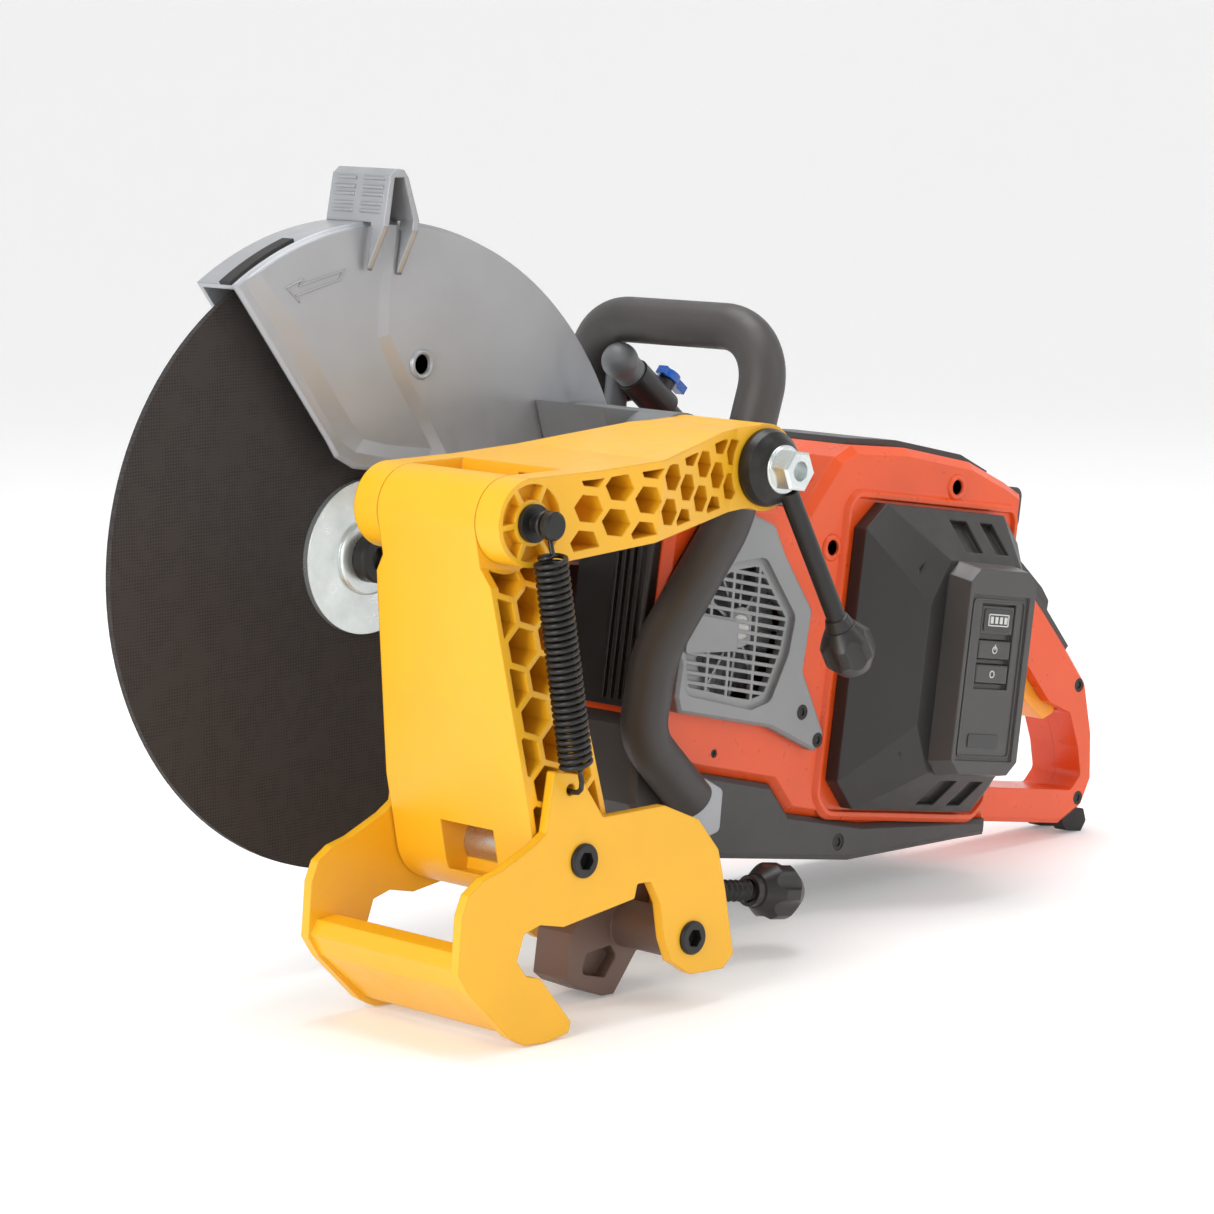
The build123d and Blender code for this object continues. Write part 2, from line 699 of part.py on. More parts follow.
def arm_cells(region):
    high = (ARM_CELL_PITCH - CELL_WALL) / 2
    cells = []
    for column, (x, middle, wide) in enumerate(ARM_CELLS):
        for row in (-2, -1, 0, 1, 2):
            z = middle + (row + (column % 2) / 2) * ARM_CELL_PITCH
            half = wide / 2
            cells.append(outline(
                (x - wide, z), (x - half, z + high), (x + half, z + high),
                (x + wide, z), (x + half, z - high), (x - half, z - high),
            ))
    clipped = [face for cell in cells for face in (region & cell).faces()]
    return [offset(face, -0.8) for face in clipped if face.area > 45]


def upper_arm():
    body = outline(
        (-68, 55.5), (-20, 63), (27, 72), (93, 90.5), (134, 98), (146, 54),
        (119, 50), (66, 37.5), (25, 28), (-35, 15), (-58, 10.5),
    )
    face = body + circle(KNUCKLE, KNUCKLE_R) + circle(HUB, HUB_R)
    arm = slab(face, GUIDE_LEFT, GUIDE_RIGHT)
    plan = make_face(Polyline(
        (-90, GUIDE_LEFT), (28, GUIDE_LEFT), (109, HUB_LEFT), (160, HUB_LEFT),
        (160, HUB_RIGHT), (106, HUB_RIGHT), (28, GUIDE_RIGHT), (-90, GUIDE_RIGHT), close=True,
    ))
    arm &= extrude(plan, 120)
    arm -= box((-100, -29), (GUIDE_LEFT + LUG_T, GUIDE_RIGHT - LUG_T), (0, 80))
    web = offset(body, -3.5) - circle(HUB, HUB_R + 1) - circle(KNUCKLE, KNUCKLE_R + 2)
    for cell in arm_cells(web):
        arm -= slab(cell, GUIDE_LEFT, ARM_CELL_FLOOR)
    lug = circle(KNUCKLE, KNUCKLE_R - 3) - circle(KNUCKLE, PIN_R + 4)
    for turn in (0, 60, 120):
        lug -= Pos(*KNUCKLE) * Rot(0, 0, turn + 12) * Rectangle(80, 3)
    arm -= slab(lug, GUIDE_LEFT, GUIDE_LEFT + 7)
    return arm - rod(HUB, 13.0, HUB_LEFT, HUB_RIGHT) - rod(KNUCKLE, PIN_R, GUIDE_LEFT, GUIDE_RIGHT)


def hub_bushings():
    ends = [(HUB_LEFT, HUB_LEFT + 20), (HUB_RIGHT - 20, HUB_RIGHT)]
    return group(*[ring(HUB, 13.0, HUB_SHAFT_R + FIT, *end) for end in ends])


def knuckle_pin():
    """Pin of the knuckle, with the post that holds the top of the spring."""
    pin = rod(KNUCKLE, PIN_R, GUIDE_LEFT, GUIDE_RIGHT)
    pin += rod(KNUCKLE, 10.0, GUIDE_LEFT - 3, GUIDE_LEFT)
    pin += rod(KNUCKLE, 4.5, SPRING_Y - 3, GUIDE_LEFT - 3)
    return pin + chamfer(left_edges(rod(KNUCKLE, 7.5, SPRING_Y - 8, SPRING_Y - 3)), 1.5)


def hub_shaft():
    return rod(HUB, HUB_SHAFT_R, HUB_LEFT - 14, BRACKET_RIGHT)


def hub_nut():
    nut = slab(hexagon(HUB, 21), HUB_LEFT - 27, HUB_LEFT - 14)
    nut += rod(HUB, 12.4, HUB_LEFT - 16, HUB_LEFT - 14)
    return chamfer(left_edges(nut), 1.5) - rod(HUB, 5.5, HUB_LEFT - 27, HUB_LEFT - 20)


LEVER_Y = HUB_LEFT - 11
LEVER_KNOB = (206.0, -21.0)


def turned(centre, *profile):
    """A body of revolution about an axis along Y, from (radius, y) points."""
    return Pos(centre[0], 0, centre[1]) * revolve(make_face(Polyline(*profile, close=True)), Axis.Y)


def lever_point(place):
    return Vector(place[0], LEVER_Y, place[1])


def lobed_knob(radius, lobes):
    """Knob about the Z axis, narrowed to both ends, with finger scoops between its lobes."""
    high, low = 0.95 * radius, 0.35 * radius
    profile = Polyline(
        (0, -high), (0.6 * radius, -high), (radius, -low),
        (radius, low), (0.6 * radius, high), (0, high), close=True,
    )
    knob = revolve(Plane.XZ * make_face(profile), Axis.Z)
    for number in range(lobes):
        knob -= Pos(*polar(1.38 * radius, 360 / lobes * number), 0) * Cylinder(0.55 * radius, 3 * radius)
    return knob


def lock_lever():
    face = HUB_LEFT - GAP
    bore = HUB_SHAFT_R + FIT
    crown = [(21.5, face), (21.5, face - 3), (20, face - 7), (16.5, face - 11), (13, face - 13.5)]
    dome = turned(HUB, (bore, face), *crown, (bore, face - 13.5))
    reach = bar((HUB[0], LEVER_Y, HUB[1]), (LEVER_KNOB[0], LEVER_Y, LEVER_KNOB[1]), 5.5)
    return dome + (reach - rod(HUB, 15.0, face - 40, face))


def lever_knob():
    place = Plane(origin=lever_point(LEVER_KNOB), z_dir=lever_point(LEVER_KNOB) - lever_point(HUB))
    knob = place * lobed_knob(15.0, 6)
    return knob - bar(lever_point(HUB), lever_point(LEVER_KNOB), 5.5)


BRACKET_LEFT = -80.0
BRACKET_RIGHT = -25.0


def rail_bracket():
    """Cast bracket on top of the body that carries the hub of the rail guide."""
    face = outline((96, 97), (200, 98), (238, 92), (256, 52), (158, 52), (150, 44), (118, 50))
    face += circle(HUB, 25.0)
    casting = slab(face, BRACKET_LEFT, BRACKET_RIGHT) + rod(HUB, 25.0, HUB_RIGHT + GAP, BRACKET_LEFT)
    for x in (168, 190):
        casting -= box((x, x + 14), (BRACKET_LEFT, BRACKET_RIGHT - 5), (88, 110))
    casting -= box((150, 236), (BRACKET_LEFT + 5, BRACKET_RIGHT - 5), (52, 82))
    return casting - rod(HUB, HUB_SHAFT_R, GUIDE_LEFT, BRACKET_RIGHT)


def lower_arm():
    side = link(KNUCKLE, KNUCKLE_R, LOW_PIVOT, LOW_R)
    near, far = GUIDE_LEFT + LUG_T + 0.5, GUIDE_RIGHT - LUG_T - 0.5
    wide_near, wide_far = GUIDE_LEFT + PLATE_T + 1, PLATE_RIGHT - PLATE_T - 1
    front = make_face(Polyline(
        (near, 60), (near, 7), (near - 6, -2), (wide_near, -110), (wide_near, -170), (wide_far, -170),
        (wide_far, -110), (far + 7, -2), (far, 7), (far, 60), close=True,
    ))
    arm = slab(side, wide_near, wide_far) & extrude(Plane.YZ.offset(-120) * front, 200)
    web = offset(side, -3.5) - circle(KNUCKLE, KNUCKLE_R + 5) - circle(LOW_PIVOT, LOW_R + 2)
    for cell in honeycomb(web, (-62, 4), -70, 9, 2):
        arm -= slab(cell, wide_near, wide_near + CELL_DEPTH)
    arm -= box((-60, -8), (-163, -122), (-156, -130))
    arm -= rod(KNUCKLE, PIN_R + FIT, GUIDE_LEFT, GUIDE_RIGHT)
    return arm - rod(LOW_PIVOT, 13.0, GUIDE_LEFT, PLATE_RIGHT)


def lower_bushing():
    return ring(LOW_PIVOT, 13.0, PIN_R + FIT, GUIDE_LEFT + PLATE_T + 0.5, PLATE_RIGHT - PLATE_T - 0.5)


def tension_spring():
    """Envelope of the coil, with the eye round the post and the hook into the plate."""
    top = (KNUCKLE[0] + 5, SPRING_Y, KNUCKLE[1] - 15)
    foot = (SPRING_HOOK[0] - 8, SPRING_Y, SPRING_HOOK[1] + 12)
    bend = (SPRING_HOOK[0], SPRING_Y + 8, SPRING_HOOK[1])
    eye = ring(KNUCKLE, 4.9 + 2 * SPRING_WIRE_R, 4.9, SPRING_Y - SPRING_WIRE_R, SPRING_Y + SPRING_WIRE_R)
    neck = bar((KNUCKLE[0] + 2.2, SPRING_Y, KNUCKLE[1] - 6), top, SPRING_WIRE_R - 0.2)
    lead = (foot[0] - 1, foot[1], foot[2] + 4)
    tip = (bend[0], GUIDE_LEFT + 2, bend[2])
    hook = FilletPolyline(lead, bend, tip, radius=3)
    wire = sweep(Plane(origin=hook @ 0, z_dir=hook % 0) * Circle(SPRING_WIRE_R), path=hook)
    return bar(top, foot, SPRING_R) + eye + neck + wire


# ---- rail guide: clamp --------------------------------------------------------------------
def plate_face():
    back = [
        (-27, -94), (-9, -95), (12, -117), (57, -110), (84, -117), (102, -133), (111, -155),
        (123, -190), (116, -198),
        (91, -201), (75, -194), (68, -182), (62, -163), (53, -151), (43, -152),
    ]
    mouth = [
        (42, -160), (-8, -175), (-25, -174), (-36, -179), (-39, -193), (-31, -201), (-21, -202), (5, -225),
    ]
    toe = [(4, -231), (-12, -236), (-27, -237), (-38, -233), (-70, -210), (-79, -200)]
    front = [(-81, -170), (-78, -159), (-69, -151), (-57, -146), (-36, -133), (-28, -126)]
    plate = outline(*back, *mouth, *toe, *front, round_r=1.5)
    return plate - circle(LOW_PIVOT, PIN_R) - circle(JAW_PIVOT, PIN_R)


def clamp_frame():
    """Rail clamp body: two side plates, the toe bar and the bar that holds the screw."""
    side = plate_face()
    frame = slab(side - circle(SPRING_HOOK, 3.2), GUIDE_LEFT, GUIDE_LEFT + PLATE_T)
    frame += slab(side, PLATE_RIGHT - PLATE_T, PLATE_RIGHT)
    inside = (GUIDE_LEFT + PLATE_T, PLATE_RIGHT - PLATE_T)
    toe = outline((-78, -198), (-74, -190), (-62, -187), (-33, -213), (-34, -232), (-69, -209))
    screw_bar = outline((104, -150), (111, -157), (115, -176), (104, -176))
    frame += slab(toe, *inside) + slab(screw_bar, *inside)
    return frame - bar((80, SCREW_Y, SCREW_Z), (130, SCREW_Y, SCREW_Z), SCREW_R + FIT)


def clamp_bolts():
    """Pivot bolts of the lower arm and of the jaw, with nuts on the right."""
    bolts = []
    for centre in (LOW_PIVOT, JAW_PIVOT):
        bolt = rod(centre, PIN_R, GUIDE_LEFT, PLATE_RIGHT)
        head = chamfer(left_edges(rod(centre, 9.2, GUIDE_LEFT - 2.5, GUIDE_LEFT)), 1.0)
        bolt += head
        bolt -= slab(hexagon(centre, 9), GUIDE_LEFT - 2.5, GUIDE_LEFT + 3)
        bolts.append(bolt + slab(hexagon(centre, 19), PLATE_RIGHT, PLATE_RIGHT + 8))
    return group(*bolts)


JAW_Y = (-151.0, -125.0)


def clamp_jaw():
    face = outline(
        (47, -212), (47, -187), (54, -178), (70, -165), (90, -156), (100, -155), (103, -160),
        (104, -190), (120, -190), (120, -197), (98, -196), (87, -215), (84, -220), (75, -221), (54, -216),
        round_r=1.5,
    )
    jaw = slab(face, *JAW_Y)
    deep = (JAW_Y[0], JAW_Y[0] + 8)
    jaw -= slab(outline((86, -174), (100, -174), (100, -186), (86, -186), round_r=4.0), *deep)
    jaw -= slab(outline((60, -198), (78, -193), (83, -199), (76, -211), (58, -209), round_r=2.5), *deep)
    jaw += ring(JAW_PIVOT, 13.0, PIN_R + FIT, GUIDE_LEFT + PLATE_T + 0.5, PLATE_RIGHT - PLATE_T - 0.5)
    return jaw - rod(JAW_PIVOT, PIN_R + FIT, GUIDE_LEFT, PLATE_RIGHT)


KNOB_X = (196.0, 232.0)


KNOB_CENTRE = (217.0, SCREW_Y, SCREW_Z)


def clamp_screw():
    return bar((106, SCREW_Y, SCREW_Z), KNOB_CENTRE, SCREW_R)


def star_knob():
    knob = Plane(origin=KNOB_CENTRE, z_dir=(1, 0, 0)) * lobed_knob(16.5, 6)
    knob += bar((KNOB_X[0], SCREW_Y, SCREW_Z), KNOB_CENTRE, 9.0)
    return knob - bar((106, SCREW_Y, SCREW_Z), KNOB_CENTRE, SCREW_R)


# ---- assembly -----------------------------------------------------------------------------
def parts():
    return {
        "housing_left": housing_left(),
        "housing_right": housing_right(),
        "front_cover": front_cover(),
        "lower_skid": lower_skid(),
        "rear_handle_left": rear_handle_left(),
        "rear_handle_right": rear_handle_right(),
        "grip_pad": grip_pad(),
        "top_cover": top_cover(),
        "cooling_grille": cooling_grille(),
        "body_screws": body_screws(),
        "controller_box": controller_box(),
        "battery_terminal": battery_terminal(),
        "rear_feet": rear_feet(),
        "motor_stator": motor_stator(),
        "drive_arm": drive_arm(),
        "belt_cover": belt_cover(),
        "drive_belt": drive_belt(),
        "shaft_bearings": shaft_bearings(),
        "front_handle": front_handle(),
        "handle_bracket_left": handle_bracket_left(),
        "handle_bracket_right": handle_bracket_right(),
        "rail_bracket": rail_bracket(),
        "hub_shaft": hub_shaft(),
        "hub_nut": hub_nut(),
        "water_valve": water_valve(),
        "water_elbow": water_elbow(),
        "tap_lever": tap_lever(),
        "cutting_disc": cutting_disc(),
        "outer_flange": outer_flange(),
        "inner_flange": inner_flange(),
        "spindle_shaft": spindle_shaft(),
        "flange_bolt": flange_bolt(),
        "driven_pulley": pulley(AXIS, DRIVEN_R, SPINDLE_R),
        "motor_rotor": motor_rotor(),
        "cooling_fan": cooling_fan(),
        "drive_pulley": pulley(MOTOR, DRIVE_R, 8.0),
        "blade_guard": blade_guard(),
        "guard_grip": guard_grip(),
        "guard_seal": guard_seal(),
        "throttle_trigger": throttle_trigger(),
        "lockout_lever": lockout_lever(),
        "battery_latch": battery_latch(),
        "battery_case": battery_case(),
        "battery_panel": battery_panel(),
        "battery_cells": battery_cells(),
        "charge_button": battery_button(BUTTON_Z[0]),
        "mode_button": battery_button(BUTTON_Z[1]),
        "upper_arm": upper_arm(),
        "hub_bushings": hub_bushings(),
        "knuckle_pin": knuckle_pin(),
        "lock_lever": lock_lever(),
        "lever_knob": lever_knob(),
        "lower_arm": lower_arm(),
        "lower_bushing": lower_bushing(),
        "tension_spring": tension_spring(),
        "clamp_frame": clamp_frame(),
        "clamp_bolts": clamp_bolts(),
        "clamp_jaw": clamp_jaw(),
        "clamp_screw": clamp_screw(),
        "star_knob": star_knob(),
    }


def standing_place(solids):
    """Pitch the saw nose-up and bring the middle of its footprint to the origin."""
    pitch = Rot(0, NOSE_UP, 0)
    extent = Compound(children=[pitch * solid for solid in solids]).bounding_box()
    centre = extent.center()
    return Pos(-centre.X, -centre.Y, -extent.min.Z) * pitch


def main():
    os.makedirs("parts", exist_ok=True)
    solids = parts()
    place = standing_place(list(solids.values()))
    shift = place.position
    print(f"saw frame origin stands at {shift.X:.3f} {shift.Y:.3f} {shift.Z:.3f}")
    for name, solid in solids.items():
        export_step(place * solid, f"parts/{name}.step")


if __name__ == "__main__":
    main()
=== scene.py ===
"""Looks of the battery rail-cutting saw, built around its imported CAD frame."""
import json
import math

import bmesh
import bpy
from mathutils import Matrix, Vector


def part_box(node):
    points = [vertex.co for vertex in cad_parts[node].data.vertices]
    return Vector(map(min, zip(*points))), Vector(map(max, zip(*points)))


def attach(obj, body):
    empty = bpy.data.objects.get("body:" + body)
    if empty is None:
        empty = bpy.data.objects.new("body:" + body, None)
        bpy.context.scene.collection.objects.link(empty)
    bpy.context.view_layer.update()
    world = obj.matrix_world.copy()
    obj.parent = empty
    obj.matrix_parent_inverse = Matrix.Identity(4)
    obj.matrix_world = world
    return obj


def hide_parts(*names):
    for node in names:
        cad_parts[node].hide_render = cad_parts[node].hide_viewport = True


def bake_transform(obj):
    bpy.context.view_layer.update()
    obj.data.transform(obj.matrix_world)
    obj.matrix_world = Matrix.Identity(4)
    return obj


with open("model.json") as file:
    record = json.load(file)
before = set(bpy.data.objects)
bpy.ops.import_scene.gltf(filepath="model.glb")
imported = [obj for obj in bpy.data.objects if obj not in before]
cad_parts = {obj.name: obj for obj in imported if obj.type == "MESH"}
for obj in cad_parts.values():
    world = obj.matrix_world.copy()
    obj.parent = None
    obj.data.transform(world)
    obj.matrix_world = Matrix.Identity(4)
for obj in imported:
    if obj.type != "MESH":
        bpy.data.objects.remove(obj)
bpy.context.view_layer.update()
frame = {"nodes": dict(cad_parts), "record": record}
NODES = frame["nodes"]

# ---- saw frame: millimetres, x to the rear, y to the operator's right, z up, disc centre at 0 ----
NOSE_UP = math.radians(9)
disc_low, disc_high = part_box("cutting_disc")
DISC_CENTRE = (disc_low + disc_high) / 2
SAW = Matrix.Translation(DISC_CENTRE) @ Matrix.Rotation(NOSE_UP, 4, "Y") @ Matrix.Scale(0.001, 4)


# ---- materials ------------------------------------------------------------------------------
def srgb(code):
    """Linear colour of a hex code."""
    parts = [int(code[i:i + 2], 16) / 255 for i in (0, 2, 4)]
    return tuple(c / 12.92 if c < 0.04045 else ((c + 0.055) / 1.055) ** 2.4 for c in parts) + (1,)


BEVEL_SAMPLES = 6
EDGE_FLAT, EDGE_SHARP = 0.995, 0.90  # cosines between a face and its rounded edge
NOISE_LOW, NOISE_HIGH = 0.3, 0.7  # the range that a noise mostly keeps to
ROUGH_DRIFT = 0.06  # how far the roughness wanders over a surface
COAT_ROUGH = 0.12


class Tree:
    """A node tree with short calls for the nodes used here."""

    def __init__(self, name):
        self.material = bpy.data.materials.new(name)
        self.material.use_nodes = True
        self.tree = self.material.node_tree
        self.shader = self.tree.nodes["Principled BSDF"]
        self.place = self.tree.nodes.new("ShaderNodeTexCoord").outputs["Object"]

    def put(self, socket, value):
        if isinstance(value, bpy.types.NodeSocket):
            self.tree.links.new(value, socket)
        elif value is not None:
            socket.default_value = value

    def node(self, kind, **inputs):
        made = self.tree.nodes.new("ShaderNode" + kind)
        for key, value in inputs.items():
            name = key.replace("_", " ")
            if name in made.inputs:
                self.put(made.inputs[name], value)
            else:
                setattr(made, key, value)
        return made

    def math(self, operation, a, b=0.0):
        made = self.tree.nodes.new("ShaderNodeMath")
        made.operation = operation
        self.put(made.inputs[0], a)
        self.put(made.inputs[1], b)
        return made.outputs[0]

    def noise(self, size_mm, detail=2.0, rough=0.5):
        scale = 1000 / size_mm
        made = self.node("TexNoise", Vector=self.place, Scale=scale, Detail=detail, Roughness=rough)
        return made.outputs["Fac"]

    def ramp(self, value, low, high, to_low=0.0, to_high=1.0):
        made = self.node("MapRange")
        sockets = ("Value", "From Min", "From Max", "To Min", "To Max")
        for socket, number in zip(sockets, (value, low, high, to_low, to_high)):
            self.put(made.inputs[socket], number)
        return made.outputs["Result"]

    def mix(self, factor, a, b):
        made = self.tree.nodes.new("ShaderNodeMix")
        made.data_type = "RGBA"
        for number, value in ((0, factor), (6, a), (7, b)):  # the colour sockets of the node
            self.put(made.inputs[number], value)
        return made.outputs[2]

    def bump(self, height, strength, depth_mm, normal=None):
        made = self.node("Bump", Height=height, Strength=strength, Distance=depth_mm / 1000)
        if normal is not None:
            self.put(made.inputs["Normal"], normal)
        return made.outputs["Normal"]

    def edges(self, radius_mm):
        """Rounded-edge normal, and a mask that is 1 along the edges."""
        rounded = self.node("Bevel", samples=BEVEL_SAMPLES, Radius=radius_mm / 1000).outputs["Normal"]
        flat = self.node("NewGeometry").outputs["Normal"]
        dot = self.node("VectorMath", operation="DOT_PRODUCT")
        self.put(dot.inputs[0], rounded)
        self.put(dot.inputs[1], flat)
        return rounded, self.ramp(dot.outputs["Value"], EDGE_FLAT, EDGE_SHARP)


def surface(name, code, rough, *, metal=0.0, grain=(0.6, 0.15, 0.05), mottle=0.05, spread=40.0,
            edge=0.5, worn=None, radius=0.8, coat=0.0):
    """A painted, moulded or cast surface: colour drift, fine grain and lighter or worn edges."""
    t = Tree(name)
    rounded, mask = t.edges(radius)
    base = srgb(code)
    dark = tuple(c * (1 - mottle) for c in base[:3]) + (1,)
    light = tuple(min(1.0, c * (1 + mottle)) for c in base[:3]) + (1,)
    drift = t.noise(spread, 3.0)
    colour = t.mix(t.ramp(drift, NOISE_LOW, NOISE_HIGH), dark, light)
    if worn:
        scuff = t.ramp(t.noise(5.0, 5.0, rough=0.65), 0.42, 0.62)
        colour = t.mix(t.math("MULTIPLY", mask, t.math("MULTIPLY", scuff, edge)), colour, srgb(worn))
    fine = t.noise(grain[0], 3.0)
    t.put(t.shader.inputs["Base Color"], colour)
    patches = t.noise(spread / 4, 4.0)
    patchy = t.ramp(patches, NOISE_LOW, NOISE_HIGH, rough - ROUGH_DRIFT, rough + ROUGH_DRIFT)
    t.put(t.shader.inputs["Roughness"], patchy)
    t.put(t.shader.inputs["Normal"], t.bump(fine, grain[1], grain[2], rounded))
    t.shader.inputs["Metallic"].default_value = metal
    t.shader.inputs["Coat Weight"].default_value = coat
    t.shader.inputs["Coat Roughness"].default_value = COAT_ROUGH
    return t.material


WEAVE = 0.0036  # pitch of the glass mesh, metres
WEAVE_WANDER = 0.004  # how far its threads stray, metres


def woven_disc(name):
    """Resin-bonded abrasive with the weave of its glass mesh pressed into the face."""
    t = Tree(name)
    x, _, z = t.node("SeparateXYZ", Vector=t.place).outputs
    wobble = t.math("MULTIPLY", t.noise(14, 2.0), WEAVE_WANDER)
    threads = []
    for across, along in ((x, z), (z, x)):
        shifted = t.math("ADD", across, wobble)
        wave = t.math("SINE", t.math("MULTIPLY", shifted, math.tau / WEAVE))
        offset = t.math("SINE", t.math("MULTIPLY", along, math.tau / WEAVE))
        threads.append(t.math("ABSOLUTE", t.math("MULTIPLY", wave, offset)))
    weave = t.math("MAXIMUM", threads[0], threads[1])
    grit = t.noise(0.7, 4.0, rough=0.7)
    tone = t.math("ADD", t.math("MULTIPLY", weave, 0.45), t.math("MULTIPLY", grit, 0.75))
    colour = t.mix(t.ramp(tone, 0.30, 0.85), srgb("242120"), srgb("3E3836"))
    t.put(t.shader.inputs["Base Color"], colour)
    t.put(t.shader.inputs["Roughness"], t.ramp(grit, NOISE_LOW, NOISE_HIGH, 0.62, 0.85))
    t.put(t.shader.inputs["Normal"], t.bump(tone, 0.55, 0.5))
    t.shader.inputs["Specular IOR Level"].default_value = 0.35
    return t.material


TURNING_SCALE = 4200.0  # noise scale across the turning rings


def turned_metal(name, code, centre, rough=0.28):
    """Plated steel with fine turning rings about an axis along Y through a centre."""
    t = Tree(name)
    local = t.node("VectorMath", operation="SUBTRACT")
    t.put(local.inputs[0], t.place)
    t.put(local.inputs[1], tuple(centre))
    x, _, z = t.node("SeparateXYZ", Vector=local.outputs[0]).outputs
    squares = t.math("ADD", t.math("MULTIPLY", x, x), t.math("MULTIPLY", z, z))
    radius = t.math("SQRT", squares)
    turning = t.node("TexNoise", noise_dimensions="1D", W=radius, Scale=TURNING_SCALE, Detail=3.0)
    rings = turning.outputs["Fac"]
    cloud = t.noise(16, 4.0, rough=0.6)
    rounded, _ = t.edges(0.6)
    colour = t.mix(t.ramp(cloud, 0.3, 0.8), srgb(code), srgb("CDD5D4"))
    t.put(t.shader.inputs["Base Color"], colour)
    patchy = t.ramp(cloud, NOISE_LOW, NOISE_HIGH, rough - 0.02, rough + 0.04)
    t.put(t.shader.inputs["Roughness"], patchy)
    t.put(t.shader.inputs["Normal"], t.bump(rings, 0.35, 0.08, rounded))
    t.shader.inputs["Metallic"].default_value = 0.85
    return t.material


MATERIALS = {
    "orange_shell": surface("orange_shell", "E6531B", 0.32, worn="BF4510", edge=0.15, coat=0.15,
                            radius=1.2),
    "dark_plastic": surface("dark_plastic", "242221", 0.36, radius=1.0),
    "grey_plastic": surface("grey_plastic", "434140", 0.48, grain=(0.5, 0.3, 0.06), radius=1.2),
    "battery_shell": surface("battery_shell", "2C2A29", 0.4, grain=(0.5, 0.25, 0.05), radius=1.6),
    "panel_grey": surface("panel_grey", "454342", 0.36, radius=1.2),
    "soft_grip": surface("soft_grip", "494645", 0.58, grain=(0.45, 0.3, 0.05)),
    "black_rubber": surface("black_rubber", "232221", 0.7),
    "silver_cast": surface("silver_cast", "A3A5A9", 0.34, metal=0.4, grain=(0.6, 0.22, 0.05), radius=1.4),
    "grey_cast": surface("grey_cast", "77797B", 0.48, metal=0.3, grain=(0.9, 0.35, 0.1), radius=1.2),
    "yellow_cast": surface("yellow_cast", "EEB11F", 0.36, grain=(0.7, 0.2, 0.06), mottle=0.025,
                           worn="C98612", edge=0.2, radius=1.4),
    "trigger_yellow": surface("trigger_yellow", "F7A62C", 0.35),
    "abrasive": woven_disc("abrasive"),
    "zinc": turned_metal("zinc", "E6EBEA", DISC_CENTRE),
    "steel": surface("steel", "C9C7C4", 0.28, metal=0.9),
    "black_steel": surface("black_steel", "1F1E1D", 0.36, metal=0.2, radius=0.6),
    "bronze_cast": surface("bronze_cast", "75625A", 0.5, metal=0.35, grain=(0.9, 0.35, 0.1), radius=1.6),
    "aluminium": surface("aluminium", "C8C9CA", 0.4, metal=0.8),
    "blue_plastic": surface("blue_plastic", "1B62C4", 0.3, coat=0.3),
    "copper": surface("copper", "B06A3A", 0.4, metal=0.8),
    "cell_green": surface("cell_green", "2E7D62", 0.4),
    "dark_glass": surface("dark_glass", "1B1A1A", 0.18, grain=(2.0, 0.02, 0.01), coat=0.4),
    "mark_white": surface("mark_white", "CFCFCC", 0.45, grain=(0.5, 0.1, 0.02)),
}
OWN_FINISH = {  # nodes whose shade differs from the rest of their slot
    "cooling_grille": surface("grille_cast", "8E8F90", 0.4, metal=0.35, grain=(0.6, 0.22, 0.05),
                              radius=1.0),
    "front_handle": surface("handle_grip", "413E3D", 0.5, grain=(0.45, 0.3, 0.05)),
    "top_cover": surface("top_insert", "3A3837", 0.42, grain=(0.5, 0.3, 0.06)),
}
for subpart in frame["record"]["subparts"]:
    node = NODES[subpart["node"]]
    node.data.materials.clear()
    node.data.materials.append(OWN_FINISH.get(node.name, MATERIALS[subpart["material_slot"]]))


